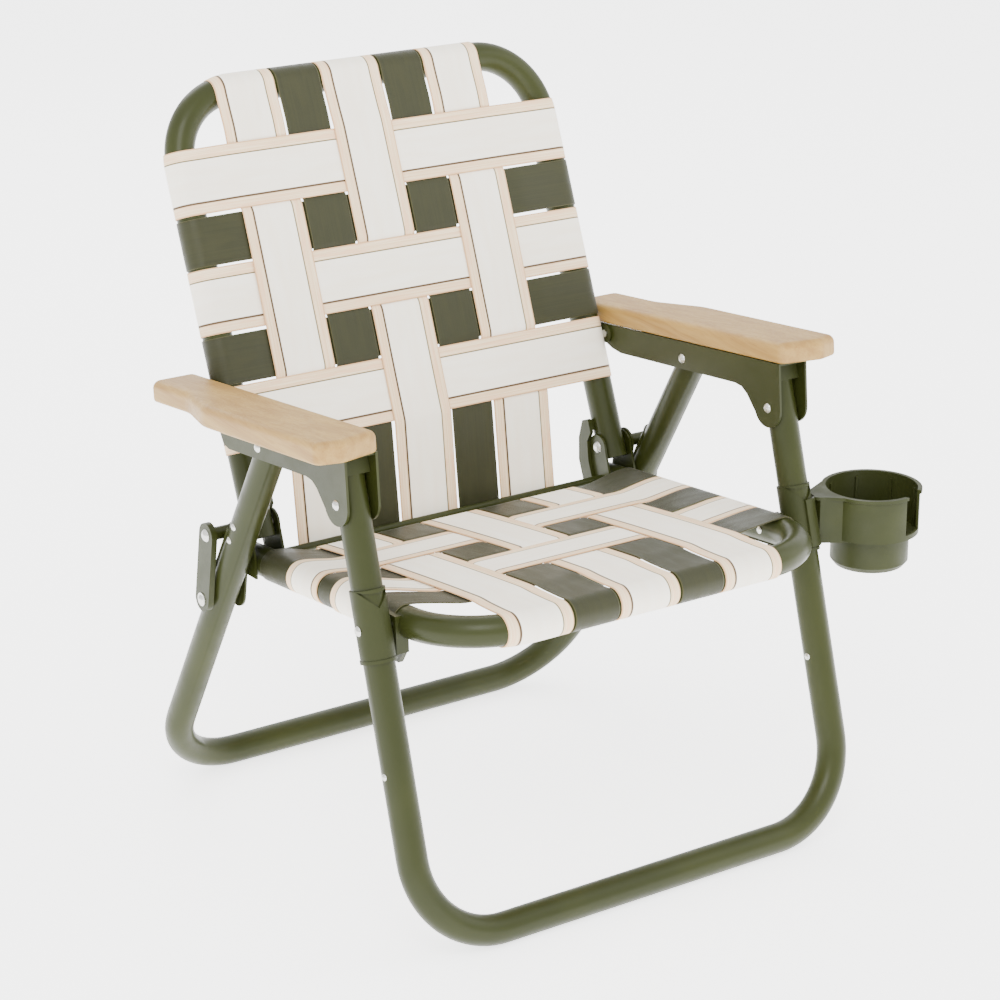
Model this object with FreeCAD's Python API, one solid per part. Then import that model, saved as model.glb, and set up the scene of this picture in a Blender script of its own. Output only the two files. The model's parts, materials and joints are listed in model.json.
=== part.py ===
import FreeCAD, Part
import math
import os

# Folding camp chair: welded steel tube frames, woven webbing, wooden armrests and a clip-on cup holder.
# Millimetres, +Z up, the sitter faces -Y. Shapes are built in the chair's own frame (x = 0 at the middle
# plane, y = 0 on the front ground bar, z = 0 on the ground) and shifted at the end so that the origin is
# the middle of the overall footprint.

Vec = FreeCAD.Vector

# ---------------------------------------------------------------- driving dimensions
TUBE_R = 14.3                 # 28.6 mm (1 1/8 in) frame tube
TUBE_WALL = 1.1
LEG_X = 242.0                 # leg tube centres from the middle plane
INNER_X = 208.0               # seat and back tube centres from the middle plane
LEG_BEND_R = 83.0
SEAT_BEND_R = 75.0
BACK_BEND_R = 68.0
FRONT_LEAN = 16.0             # degrees from upright, top to the rear
REAR_LEAN = 30.0              # degrees from upright, top to the front
RECLINE = 21.3                # degrees from upright
SEAT_SLOPE = 4.5              # degrees, lower at the rear
ARM_SLOPE = 5.0               # degrees, lower at the rear
REAR_BAR_Y = 478.0

ARM_PIVOT_S = 405.0           # along the front leg from the ground bar's axis
SEAT_PIVOT_S = 293.0
CAP_TOP_RADIUS = 42.4         # the front leg cap's rounded top, about the arm pivot
REAR_PIVOT_S = 469.0          # along the rear leg from its ground bar's axis
LINK_PIVOT_S = 264.0
BACK_PIVOT = (335.0, 310.0)   # y, z of the backrest pivot
BACK_TOP_S = 409.0            # backrest top bar's axis above the pivot, along the backrest
BACK_END_S = -13.0            # lower end of the backrest tubes

SHANK_R = 2.5                 # rivets and small bolts
PIVOT_R = 4.0                 # backrest pivot bolt
RUN_CLEAR = 0.05              # radial running clearance
HEAD_R = 4.75
HEAD_H = 2.6
SMALL_HEAD_R, SMALL_HEAD_H = 3.6, 2.4
SMALL_HEAD_SINK = 0.6         # a small rivet's head starts this far inside the tube's crown

CHANNEL_T = 2.4               # armrest bracket steel
CHANNEL_HALF = 14.7           # half of the clear width inside the armrest bracket
WEB_T = 1.4                   # webbing thickness
WHITE_W = 65.5                # white webbing width
GREEN_W = 47.5                # green webbing width
WEB_GAP = 2.4                 # light gap between neighbouring straps
WEB_SHIFT = -13.0             # the lengthwise straps sit slightly off the middle

# front legs; S is a place along the leg from the ground bar's axis
LEG_TUBE_END_S = ARM_PIVOT_S + 24.0
CAP_PLUG_L = 14.0
CAP_BLOCK = ((-14.0, 4.0), (14.0, -4.0), (22.0, 20.0), (-6.0, 28.0))    # side view, from the tube's end
SLEEVE_S = (263.0, 328.0)
SLEEVE_R = 16.0
SLEEVE_LIP_H = 3.0
SLEEVE_NOTCH_DEPTH = 12.0
CLIP_S = (267.0, 313.0)
CLIP_R = 18.8
FRONT_RIVETS = ((-1, 162.0), (1, 166.0))      # side of the tube, place along the leg

# cup holder
CUP_X, CUP_Y = 325.0, 70.0
CUP_RIM_Z, CUP_STEP_Z, CUP_BASE_Z = 318.0, 270.5, 239.5
CUP_UPPER_R, CUP_LOWER_R, CUP_WALL = 47.0, 38.0, 2.4
CUP_RIM_BEAD = 2.0
CUP_RIBS = 8
CUP_RIB_H, CUP_RIB_W = 39.5, 2.4
CUP_SLOT_W = 26.0
CUP_SLOT_BASE_Z = CUP_STEP_Z + 8.0
CUP_SLOT_AZIMUTH = 21.0       # degrees outboard from straight ahead
CUP_NECK_X = LEG_X + SLEEVE_R + 0.3
CUP_FLANGE_T = 3.2
CUP_NECK_BOSS_R = 13.0
CUP_NECK_BOSS = (CUP_NECK_X + 10.5, CUP_Y + 11)
CUP_FLANGE = ((CUP_NECK_X + 5, CUP_Y + 23), (CUP_X - 14, CUP_Y + 46), (CUP_X - 14, CUP_Y - 46),
              (CUP_NECK_X + 5, CUP_Y))
CUP_WEB = ((CUP_NECK_X + 2.6, CUP_Y + 1), (CUP_X - 38, CUP_Y - 16), (CUP_X - 38, CUP_Y + 20),
           (CUP_NECK_X + 2.6, CUP_Y + 17))

# rear legs
REAR_TUBE_END_S = REAR_PIVOT_S + 13.0
REAR_END_R = TUBE_R - 1.0     # the rear leg's rounded top, about the pivot
SADDLE_S = (292.0, 352.0)
SADDLE_T = 1.8
SADDLE_HALF_W = 13.0
SADDLE_FROM = 6.5             # the shell covers the tube's rear beyond this depth
REAR_RIVETS_S = (344.0, 362.0)

# seat; T is a place along the side tubes, the pairs are (y, z) in side view
SEAT_FRONT_Y, SEAT_FRONT_Z = -4.0, 301.6
SEAT_TUBE_END_T = 362.0
SEAT_PLUG_L, SEAT_COLLAR_L = 16.0, 5.0
SEAT_REAR_BAR = (303.0, 270.0)
SEAT_REAR_BAR_R = 8.0
CROSS_ROD = (329.0, 278.0)
CROSS_ROD_R = 4.0
HINGE_IN_X = (190.9, 193.2)
HINGE_OUT_X = (222.4, 224.6)
HINGE_R = 13.0                # the hinge plates' round end, about the backrest pivot
HINGE_TAIL = ((352, 12), (352, -9), (318, -12), (318, 8))      # t and m along the seat tube
EAR_IN_X, EAR_OUT_X = INNER_X + 4.0, LEG_X - SLEEVE_R - 0.9
EAR_BLOCK = ((-11, -26), (9, -26), (11, 9), (-9, 9))           # from the seat pivot
EAR_FOOT = ((-4, -37), (12, -37), (9, -26), (-11, -26))
EAR_FOOT_X = (INNER_X + 6.0, INNER_X + 11.0)
SEAT_BOLT_IN_X = INNER_X - TUBE_R - 0.3

# backrest; S up its tubes from the pivot, N rearwards
LOWER_BAR_S, LOWER_BAR_N = -43.0, 22.0
LOWER_BAR_R = 6.0
BAR_ARM_X = (186.5, 190.3)
BAR_ARM_LINE = ((30, 0), (30, 10), (14, 22), (-8, 30), (-50, 30), (-50, 14), (-12, 14), (8, 9), (16, 0))
BAR_ARM_BLOCK = ((29, 1), (29, 9), (18, 9), (18, 1))
BACK_PLUG_IN, BACK_PLUG_OUT = 5.0, 0.8
LUG_X = (222.35, 224.5)
LUG_R, LUG_L = 9.0, 12.0

# armrests; U along the wood's underside from its front, W upwards
ARM_FRONT_Y, ARM_FRONT_Z = 97.0, 450.5
ARM_IN_X = (LEG_X - CHANNEL_HALF - CHANNEL_T, LEG_X - CHANNEL_HALF)
ARM_OUT_X = (LEG_X + CHANNEL_HALF, LEG_X + CHANNEL_HALF + CHANNEL_T)
LOBE_R = 19.0
INNER_WALL_END_U = 284.0
OUTER_WALL_END_U = 216.0
WALL_DEPTH = 28.0
WOOD_T = 20.0
WOOD_IN_X = 225.0
WOOD_FRONT_U, WOOD_REAR_U = -15.0, 319.0
WOOD_FRONT_W, WOOD_REAR_W = 66.0, 49.0
WOOD_JOG_U = (190.0, 246.0)
WOOD_JOG_R = 60.0
WOOD_SKEW_W = 24.0            # the front end's foremost corner, in from the outer side
WOOD_EDGE_R = 7.5
WOOD_SOLE_R = 3.0
SCREW_R, SCREW_H = 3.8, 2.2
SCREW_PLACES = ((72, LEG_X, -CHANNEL_T), (105, LEG_X, -CHANNEL_T), (198, LEG_X, -CHANNEL_T),
                (292, LEG_X + 8, 0))           # u, x, w

# links
LINK_IN_X = (224.8, 227.0)
LINK_OUT_X = (262.0, 264.4)
LINK_RIM_X = 258.6
LINK_RIM_T = 2.2
LINK_R = 12.0
LINK_INNER_R = 14.5
SPACER_R = 6.2
LINK_WASHER_T = 1.0

# webbing
SIDE_REACH = INNER_X + TUBE_R               # how far the cross straps reach sideways
WIDTHS = (WHITE_W, GREEN_W, WHITE_W, GREEN_W, WHITE_W)
BACK_LONG_LIFT, BACK_CROSS_LIFT = 1.9, 4.0  # strap middles above the tubes' front
SEAT_LONG_LIFT, SEAT_CROSS_LIFT = 1.5, 3.6
BACK_CROSS_TOP_S = 356.0
BACK_CROSS_WHITE_W, BACK_CROSS_GREEN_W = 62.0, 46.0
SEAT_CROSS_REAR_T = 304.0
SEAT_CROSS_WIDTHS = (GREEN_W, 54.0, GREEN_W - 3, 54.0, GREEN_W - 3)


def rad(angle):
    return math.radians(angle)


# ---------------------------------------------------------------- places on the chair
def front_leg(x, s):
    return Vec(x, s * math.sin(rad(FRONT_LEAN)), TUBE_R + s * math.cos(rad(FRONT_LEAN)))


def rear_leg(x, s):
    return Vec(x, REAR_BAR_Y - s * math.sin(rad(REAR_LEAN)), TUBE_R + s * math.cos(rad(REAR_LEAN)))


def backrest(x, s, n=0.0):
    """s up the backrest from its pivot, n towards the rear."""
    c, d = math.cos(rad(RECLINE)), math.sin(rad(RECLINE))
    return Vec(x, BACK_PIVOT[0] + s * d + n * c, BACK_PIVOT[1] + s * c - n * d)


def seat(x, t, m=0.0):
    """t rearwards along the seat tubes from the front bar's axis, m upwards."""
    c, d = math.cos(rad(SEAT_SLOPE)), math.sin(rad(SEAT_SLOPE))
    return Vec(x, SEAT_FRONT_Y + t * c + m * d, SEAT_FRONT_Z - t * d + m * c)


def arm(x, u, w=0.0):
    """u rearwards along the armrest's underside from its front, w upwards."""
    c, d = math.cos(rad(ARM_SLOPE)), math.sin(rad(ARM_SLOPE))
    return Vec(x, ARM_FRONT_Y + u * c + w * d, ARM_FRONT_Z - u * d + w * c)


def arm_coords(p):
    c, d = math.cos(rad(ARM_SLOPE)), math.sin(rad(ARM_SLOPE))
    dy, dz = p.y - ARM_FRONT_Y, p.z - ARM_FRONT_Z
    return dy * c - dz * d, dy * d + dz * c


P_ARM_FRONT = front_leg(0, ARM_PIVOT_S)
P_SEAT = front_leg(0, SEAT_PIVOT_S)
P_ARM_REAR = rear_leg(0, REAR_PIVOT_S)
P_LINK = rear_leg(0, LINK_PIVOT_S)
P_BACK = Vec(0, BACK_PIVOT[0], BACK_PIVOT[1])
P_ARM_BACK = P_ARM_FRONT + P_BACK - P_SEAT      # fourth corner of the folding parallelogram


# ---------------------------------------------------------------- small shape helpers
def cyl_x(p, r, x0, x1):
    lo, hi = min(x0, x1), max(x0, x1)
    return Part.makeCylinder(r, hi - lo, Vec(lo, p.y, p.z), Vec(1, 0, 0))


def bar(a, b, r):
    return Part.makeCylinder(r, (b - a).Length, a, b - a)


def ring(a, b, r_out, r_in):
    return bar(a, b, r_out).cut(bar(a, b, r_in))


def prism_x(points, x0, x1):
    """A side-view outline of (y, z) points, extruded across the chair."""
    wire = Part.makePolygon([Vec(x0, p.y, p.z) for p in points] + [Vec(x0, points[0].y, points[0].z)])
    return Part.Face(wire).extrude(Vec(x1 - x0, 0, 0))


def prism_z(points, z0, z1):
    wire = Part.makePolygon([Vec(x, y, z0) for x, y in points] + [Vec(points[0][0], points[0][1], z0)])
    return Part.Face(wire).extrude(Vec(0, 0, z1 - z0))


def obround_x(p, q, r, x0, x1):
    """A plate with round ends about p and q, extruded across the chair."""
    d = q - p
    side = Vec(0, -d.z, d.y).normalize() * r
    flat = prism_x([p + side, q + side, q - side, p - side], x0, x1)
    return flat.fuse([cyl_x(p, r, x0, x1), cyl_x(q, r, x0, x1)]).removeSplitter()


def bent_path(points, radius):
    """Straight runs through the points, joined by tangent arcs."""
    edges, start = [], points[0]
    for a, b, c in zip(points, points[1:], points[2:]):
        u, v = (a - b).normalize(), (c - b).normalize()
        half = u.getAngle(v) / 2
        t0, t1 = b + u * (radius / math.tan(half)), b + v * (radius / math.tan(half))
        mid = b + (u + v).normalize() * (radius / math.sin(half) - radius)
        edges += [Part.LineSegment(start, t0).toShape(), Part.Arc(t0, mid, t1).toShape()]
        start = t1
    edges.append(Part.LineSegment(start, points[-1]).toShape())
    return Part.Wire(edges)


def sweep(path, start, direction, r):
    profile = Part.Wire(Part.Circle(start, direction, r).toShape())
    return path.makePipeShell([profile], True, False)


def bent_tube(points, radius, r=TUBE_R, wall=TUBE_WALL):
    path = bent_path(points, radius)
    direction = points[1] - points[0]
    return sweep(path, points[0], direction, r).cut(sweep(path, points[0], direction, r - wall))


def dome(p, side, x_face, r=HEAD_R, h=HEAD_H):
    """A domed head lying on the plane x = x_face, standing out towards side (+1 or -1)."""
    ball_r = (r * r + h * h) / (2 * h)
    ball = Part.makeSphere(ball_r, Vec(x_face + side * (h - ball_r), p.y, p.z))
    return ball.common(cyl_x(p, r, x_face, x_face + side * (h + 1)))


def rivet(p, x_a, x_b, r=SHANK_R, head=HEAD_R, h=HEAD_H):
    """A rivet along X between the faces x_a and x_b, with a domed head outside each."""
    side = 1 if x_b > x_a else -1
    return cyl_x(p, r, x_a, x_b).fuse([dome(p, -side, x_a, head, h), dome(p, side, x_b, head, h)])


def both_sides(make):
    return Part.makeCompound([make(-1), make(1)])


def hole(p, x_a, x_b, r=SHANK_R):
    return cyl_x(p, r + RUN_CLEAR, x_a, x_b)


def solid_of(shape):
    shape = shape.removeSplitter()
    return shape.Solids[0] if len(shape.Solids) == 1 else shape


# ---------------------------------------------------------------- front legs
def front_leg_frame():
    ends = [front_leg(-LEG_X, LEG_TUBE_END_S), front_leg(LEG_X, LEG_TUBE_END_S)]
    corners = [front_leg(-LEG_X, 0), front_leg(LEG_X, 0)]
    tube = bent_tube([ends[0], corners[0], corners[1], ends[1]], LEG_BEND_R)
    for p in (P_ARM_FRONT, P_SEAT):
        tube = tube.cut(hole(p, -LEG_X - 20, LEG_X + 20))
    return solid_of(tube)


def front_leg_cap(side):
    """Plug in the leg's top end, with a block on it that turns under the armrest bracket's web."""
    x = side * LEG_X
    top = front_leg(x, LEG_TUBE_END_S)
    plug = bar(front_leg(x, LEG_TUBE_END_S - CAP_PLUG_L), top, TUBE_R - TUBE_WALL)
    block = prism_x([top + Vec(0, dy, dz) for dy, dz in CAP_BLOCK], x - TUBE_R, x + TUBE_R)
    round_top = cyl_x(P_ARM_FRONT, CAP_TOP_RADIUS, x - TUBE_R - 1, x + TUBE_R + 1)
    return solid_of(plug.fuse(block.common(round_top)))


def front_leg_sleeve(side):
    """Moulded sleeve round the leg at the seat pivot, with a V notch in its top edge at the front."""
    x = side * LEG_X
    a, b = front_leg(x, SLEEVE_S[0]), front_leg(x, SLEEVE_S[1])
    sleeve = ring(a, b, SLEEVE_R, TUBE_R + RUN_CLEAR)
    lip = ring(a, front_leg(x, SLEEVE_S[0] + SLEEVE_LIP_H), SLEEVE_R + 0.7, SLEEVE_R - 0.2)
    v = [Vec(x - 15, b.y, b.z + 1), Vec(x, b.y, b.z - SLEEVE_NOTCH_DEPTH), Vec(x + 15, b.y, b.z + 1)]
    notch = Part.Face(Part.makePolygon(v + [v[0]])).extrude(Vec(0, -30, 0))
    sleeve = sleeve.fuse(lip).cut(notch).cut(hole(P_SEAT, x - 20, x + 20))
    return solid_of(sleeve)


def front_leg_rivets():
    """Two small rivets low on each leg, one on each side of the tube."""
    heads = []
    for side in (-1, 1):
        for out, s in FRONT_RIVETS:
            x = side * LEG_X
            face_x = x + out * (TUBE_R - SMALL_HEAD_SINK)
            head = dome(front_leg(0, s), out, face_x, SMALL_HEAD_R, SMALL_HEAD_H)
            heads.append(head.cut(bar(front_leg(x, s - 20), front_leg(x, s + 20), TUBE_R)))
    return Part.makeCompound(heads)


# ---------------------------------------------------------------- cup holder, on the sitter's left leg
def cup_profile():
    """Half section of the cup, revolved about its own axis."""
    r_low_in, r_up_in = CUP_LOWER_R - CUP_WALL, CUP_UPPER_R - CUP_WALL
    pts = [(0, CUP_BASE_Z), (CUP_LOWER_R - 4, CUP_BASE_Z), (CUP_LOWER_R, CUP_BASE_Z + 5),
           (CUP_LOWER_R, CUP_STEP_Z), (CUP_UPPER_R, CUP_STEP_Z + 3), (CUP_UPPER_R, CUP_RIM_Z - 4),
           (CUP_UPPER_R + CUP_RIM_BEAD, CUP_RIM_Z - 3), (CUP_UPPER_R + CUP_RIM_BEAD, CUP_RIM_Z),
           (r_up_in, CUP_RIM_Z),
           (r_up_in, CUP_STEP_Z + CUP_WALL), (r_low_in, CUP_STEP_Z), (r_low_in, CUP_BASE_Z + CUP_WALL),
           (0, CUP_BASE_Z + CUP_WALL)]
    verts = [Vec(CUP_X + r, CUP_Y, z) for r, z in pts]
    return Part.Face(Part.makePolygon(verts + [verts[0]]))


def cup_holder():
    """A stepped cup with a slot for a mug's handle, and a webbed neck to its clip."""
    cup = cup_profile().revolve(Vec(CUP_X, CUP_Y, 0), Vec(0, 0, 1), 360)
    ribs = []
    for k in range(CUP_RIBS):
        rib = Part.makeBox(3, CUP_RIB_W, CUP_RIB_H, Vec(CUP_UPPER_R - CUP_WALL - 1.6, -CUP_RIB_W / 2, 0))
        rib.rotate(Vec(0, 0, 0), Vec(0, 0, 1), 360 / CUP_RIBS * (k + 0.5))
        rib.translate(Vec(CUP_X, CUP_Y, CUP_STEP_Z + 2))
        ribs.append(rib)
    boss = Part.makeCylinder(CUP_NECK_BOSS_R, CUP_FLANGE_T, Vec(*CUP_NECK_BOSS, CUP_RIM_Z - CUP_FLANGE_T))
    flange = prism_z(CUP_FLANGE, CUP_RIM_Z - CUP_FLANGE_T, CUP_RIM_Z)
    web = prism_z(CUP_WEB, CUP_STEP_Z + 1, CUP_RIM_Z - 1)
    body = cup.fuse(ribs + [boss, flange, web])
    bore = Part.makeCylinder(CUP_UPPER_R - CUP_WALL, 60, Vec(CUP_X, CUP_Y, CUP_STEP_Z + CUP_WALL))
    body = body.cut(bore.cut(Part.makeCompound(ribs)))
    slot = Part.makeBox(60, CUP_SLOT_W, 60, Vec(20, -CUP_SLOT_W / 2, CUP_SLOT_BASE_Z))
    slot.rotate(Vec(0, 0, 0), Vec(0, 0, 1), CUP_SLOT_AZIMUTH - 90)
    slot.translate(Vec(CUP_X, CUP_Y, 0))
    lean = bar(front_leg(LEG_X, SEAT_PIVOT_S - 60), front_leg(LEG_X, SEAT_PIVOT_S + 60), CLIP_R)
    return solid_of(body.cut(slot).cut(lean))


def cup_clip():
    """C-shaped clip round the sleeve's outboard side, open towards the seat."""
    a, b = front_leg(LEG_X, CLIP_S[0]), front_leg(LEG_X, CLIP_S[1])
    clip = ring(a, b, CLIP_R - 0.1, SLEEVE_R + 0.75)
    clip = clip.cut(Part.makeBox(40, 80, 120, Vec(LEG_X - 42, a.y - 30, a.z - 30)))
    return solid_of(clip.cut(cyl_x(P_SEAT, HEAD_R + 1.0, LEG_X + 10, LEG_X + 30)))


# ---------------------------------------------------------------- rear legs
def rear_leg_frame():
    ends = [rear_leg(-LEG_X, REAR_TUBE_END_S), rear_leg(LEG_X, REAR_TUBE_END_S)]
    corners = [rear_leg(-LEG_X, 0), rear_leg(LEG_X, 0)]
    tube = bent_tube([ends[0], corners[0], corners[1], ends[1]], LEG_BEND_R)
    for side in (-1, 1):
        x = side * LEG_X
        beyond = bar(rear_leg(x, REAR_PIVOT_S), rear_leg(x, REAR_PIVOT_S + 30), TUBE_R + 1)
        tube = tube.cut(beyond.cut(cyl_x(P_ARM_REAR, REAR_END_R, x - 20, x + 20)))
    return solid_of(tube.cut(hole(P_ARM_REAR, -LEG_X - 20, LEG_X + 20)))


def rear_leg_saddle(side):
    """Thin half shell behind the leg, where the backrest's bolt passes close to it."""
    x = side * LEG_X
    a, b = rear_leg(x, SADDLE_S[0]), rear_leg(x, SADDLE_S[1])
    shell = ring(a, b, TUBE_R + SADDLE_T, TUBE_R + RUN_CLEAR)
    axis = (b - a).normalize()
    back = Vec(0, axis.z, -axis.y)
    keep = Part.makeBox(2 * SADDLE_HALF_W, 20, (b - a).Length, Vec(-SADDLE_HALF_W, SADDLE_FROM, 0))
    turn = FreeCAD.Placement(a, FreeCAD.Rotation(Vec(1, 0, 0), back, axis, "ZYX"))
    return solid_of(shell.common(keep.transformGeometry(turn.toMatrix())))


def rear_leg_rivets():
    """Two small rivets on each leg's outer side, just above the saddle."""
    heads = []
    for side in (-1, 1):
        for s in REAR_RIVETS_S:
            x = side * LEG_X
            face_x = x + side * (TUBE_R - SMALL_HEAD_SINK)
            head = dome(rear_leg(0, s), side, face_x, SMALL_HEAD_R, SMALL_HEAD_H)
            heads.append(head.cut(bar(rear_leg(x, s - 20), rear_leg(x, s + 20), TUBE_R)))
    return Part.makeCompound(heads)


# ---------------------------------------------------------------- seat
def seat_frame():
    ends = [seat(-INNER_X, SEAT_TUBE_END_T), seat(INNER_X, SEAT_TUBE_END_T)]
    corners = [seat(-INNER_X, 0), seat(INNER_X, 0)]
    tube = bent_tube([ends[0], corners[0], corners[1], ends[1]], SEAT_BEND_R)
    return solid_of(tube.cut(hole(P_SEAT, -INNER_X - 20, INNER_X + 20)))


def seat_rear_bar():
    """Cross bar between the side tubes, notched to them, that the lengthwise straps wrap."""
    p = Vec(0, SEAT_REAR_BAR[0], SEAT_REAR_BAR[1])
    rod = cyl_x(p, SEAT_REAR_BAR_R, -INNER_X, INNER_X)
    for side in (-1, 1):
        rod = rod.cut(bar(seat(side * INNER_X, 200), seat(side * INNER_X, 400), TUBE_R))
    return max(rod.Solids, key=lambda s: s.Volume)


def seat_tube_plugs():
    """Dark end plugs with a collar on the seat tubes' rear ends."""
    def collar(side):
        x = side * INNER_X
        end = seat(x, SEAT_TUBE_END_T)
        plug = bar(seat(x, SEAT_TUBE_END_T - SEAT_PLUG_L), end, TUBE_R - TUBE_WALL)
        return plug.fuse(bar(end, seat(x, SEAT_TUBE_END_T + SEAT_COLLAR_L), TUBE_R - 0.3))
    return both_sides(collar)


def hinge_plates(side):
    """Two plates on each seat tube's end that carry the backrest's pivot."""
    reach = Vec(0, HINGE_R, 0)
    outline = [P_BACK - reach, P_BACK + reach] + [seat(0, t, m) for t, m in HINGE_TAIL]
    plates = []
    for x0, x1 in (HINGE_IN_X, HINGE_OUT_X):
        a, b = side * x0, side * x1
        plate = prism_x(outline, a, b).fuse(cyl_x(P_BACK, HINGE_R, a, b))
        plate = plate.cut(hole(P_BACK, a, b, PIVOT_R))
        if x0 == HINGE_IN_X[0]:
            plate = plate.cut(cyl_x(Vec(0, *CROSS_ROD), CROSS_ROD_R, a, b))
        plates.append(solid_of(plate))
    return Part.makeCompound(plates)


def cross_rod():
    return cyl_x(Vec(0, *CROSS_ROD), CROSS_ROD_R, -HINGE_IN_X[1], HINGE_IN_X[1])


def seat_ears():
    """Saddle blocks between the seat tubes and the front leg sleeves, round the seat pivots."""
    def ear(side):
        block_line = [P_SEAT + Vec(0, dy, dz) for dy, dz in EAR_BLOCK]
        foot_line = [P_SEAT + Vec(0, dy, dz) for dy, dz in EAR_FOOT]
        block = prism_x(block_line, side * EAR_IN_X, side * EAR_OUT_X)
        foot = prism_x(foot_line, side * EAR_FOOT_X[0], side * EAR_FOOT_X[1])
        t = (P_SEAT.y - SEAT_FRONT_Y) / math.cos(rad(SEAT_SLOPE))
        tube = bar(seat(side * INNER_X, t - 40), seat(side * INNER_X, t + 40), TUBE_R)
        return solid_of(block.fuse(foot).cut(tube).cut(hole(P_SEAT, side * SEAT_BOLT_IN_X, side * LEG_X)))
    return both_sides(ear)


def seat_pivot_bolts():
    def bolt(side):
        shank = cyl_x(P_SEAT, SHANK_R, side * SEAT_BOLT_IN_X, side * (LEG_X + SLEEVE_R))
        inner = dome(P_SEAT, -side, side * SEAT_BOLT_IN_X, SMALL_HEAD_R, 1.2)
        return shank.fuse([dome(P_SEAT, side, side * (LEG_X + SLEEVE_R)), inner])
    return both_sides(bolt)


# ---------------------------------------------------------------- backrest
def backrest_frame():
    ends = [backrest(-INNER_X, BACK_END_S), backrest(INNER_X, BACK_END_S)]
    corners = [backrest(-INNER_X, BACK_TOP_S), backrest(INNER_X, BACK_TOP_S)]
    tube = bent_tube([ends[0], corners[0], corners[1], ends[1]], BACK_BEND_R)
    return solid_of(tube.cut(hole(P_BACK, -INNER_X - 20, INNER_X + 20, PIVOT_R)))


def back_lower_bar():
    """The bar that the lengthwise back straps wrap at the bottom, behind the cross rod."""
    p = backrest(0, LOWER_BAR_S, LOWER_BAR_N)
    return cyl_x(p, LOWER_BAR_R, -BAR_ARM_X[1], BAR_ARM_X[1])


def back_bar_arms():
    """Flat arms that hang the lower bar from the backrest tubes, clear of the pivot bolts."""
    def one(side):
        a, b = side * BAR_ARM_X[0], side * BAR_ARM_X[1]
        plate = prism_x([backrest(0, s, n) for s, n in BAR_ARM_LINE], a, b)
        plate = plate.cut(cyl_x(backrest(0, LOWER_BAR_S, LOWER_BAR_N), LOWER_BAR_R, a, b))
        block = prism_x([backrest(0, s, n) for s, n in BAR_ARM_BLOCK], b, side * (INNER_X - 8))
        tube = bar(backrest(side * INNER_X, 0), backrest(side * INNER_X, 80), TUBE_R)
        return solid_of(plate.fuse(block.cut(tube)))
    return both_sides(one)


def back_tube_plugs():
    return both_sides(lambda side: bar(
        backrest(side * INNER_X, BACK_END_S - BACK_PLUG_OUT),
        backrest(side * INNER_X, BACK_END_S + BACK_PLUG_IN), TUBE_R - TUBE_WALL))


def back_arm_lugs():
    """Small plates on the outboard side of the backrest tubes, for the armrests' rear pivots."""
    def lug(side):
        a, b = side * LUG_X[0], side * LUG_X[1]
        foot = P_ARM_BACK + Vec(0, math.cos(rad(RECLINE)), -math.sin(rad(RECLINE))) * LUG_L
        return solid_of(obround_x(P_ARM_BACK, foot, LUG_R, a, b).cut(hole(P_ARM_BACK, a, b)))
    return both_sides(lug)


# ---------------------------------------------------------------- armrests
def bracket_wall(side, xs, outline_end):
    """One wall of the armrest bracket: a long strip with a rounded lobe down to the front leg pivot."""
    a, b = side * xs[0], side * xs[1]
    u1, w1 = arm_coords(P_ARM_FRONT)
    start = [(u1 - LOBE_R, 0), (u1 - LOBE_R, w1)]
    waist = [(u1 + LOBE_R * 0.94, w1 - LOBE_R * 0.34), (u1 + 30, -36), (u1 + 38, -30), (u1 + 48, -WALL_DEPTH)]
    points = start + [(u1, w1)] + waist + outline_end
    wall = prism_x([arm(0, u, w) for u, w in points], a, b)
    return wall.fuse(cyl_x(P_ARM_FRONT, LOBE_R, a, b))


def armrest_bracket(side):
    inner_end = [(248, -WALL_DEPTH + 1), (262, -24), (278, -17), (INNER_WALL_END_U, -11),
                 (INNER_WALL_END_U, 0)]
    outer_end = [(OUTER_WALL_END_U - 14, -WALL_DEPTH), (OUTER_WALL_END_U - 5, -24),
                 (OUTER_WALL_END_U, -14), (OUTER_WALL_END_U, 0)]
    inner = bracket_wall(side, ARM_IN_X, inner_end)
    outer = bracket_wall(side, ARM_OUT_X, outer_end)
    u0 = arm_coords(P_ARM_FRONT)[0] - LOBE_R + 1
    web = prism_x([arm(0, u0, 0), arm(0, OUTER_WALL_END_U, 0), arm(0, OUTER_WALL_END_U, -CHANNEL_T),
                   arm(0, u0, -CHANNEL_T)], side * ARM_IN_X[0], side * ARM_OUT_X[1])
    body = inner.fuse([outer, web])
    for p in (P_ARM_FRONT, P_ARM_REAR, P_ARM_BACK):
        body = body.cut(hole(p, side * (ARM_IN_X[0] - 10), side * (ARM_OUT_X[1] + 10)))
    return solid_of(body)


def rounded_wire(corners):
    """A closed outline through (point, radius) corners, each corner a tangent arc."""
    edges, ends = [], []
    count = len(corners)
    for i, (b, radius) in enumerate(corners):
        u = (corners[i - 1][0] - b).normalize()
        v = (corners[(i + 1) % count][0] - b).normalize()
        half = u.getAngle(v) / 2
        t0, t1 = b + u * (radius / math.tan(half)), b + v * (radius / math.tan(half))
        middle = b + (u + v).normalize() * (radius / math.sin(half) - radius)
        edges.append(Part.Arc(t0, middle, t1).toShape())
        ends.append((t0, t1))
    for i in range(count):
        edges.append(Part.LineSegment(ends[i - 1][1], ends[i][0]).toShape())
    return Part.Wire(Part.__sortEdges__(edges))


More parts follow.
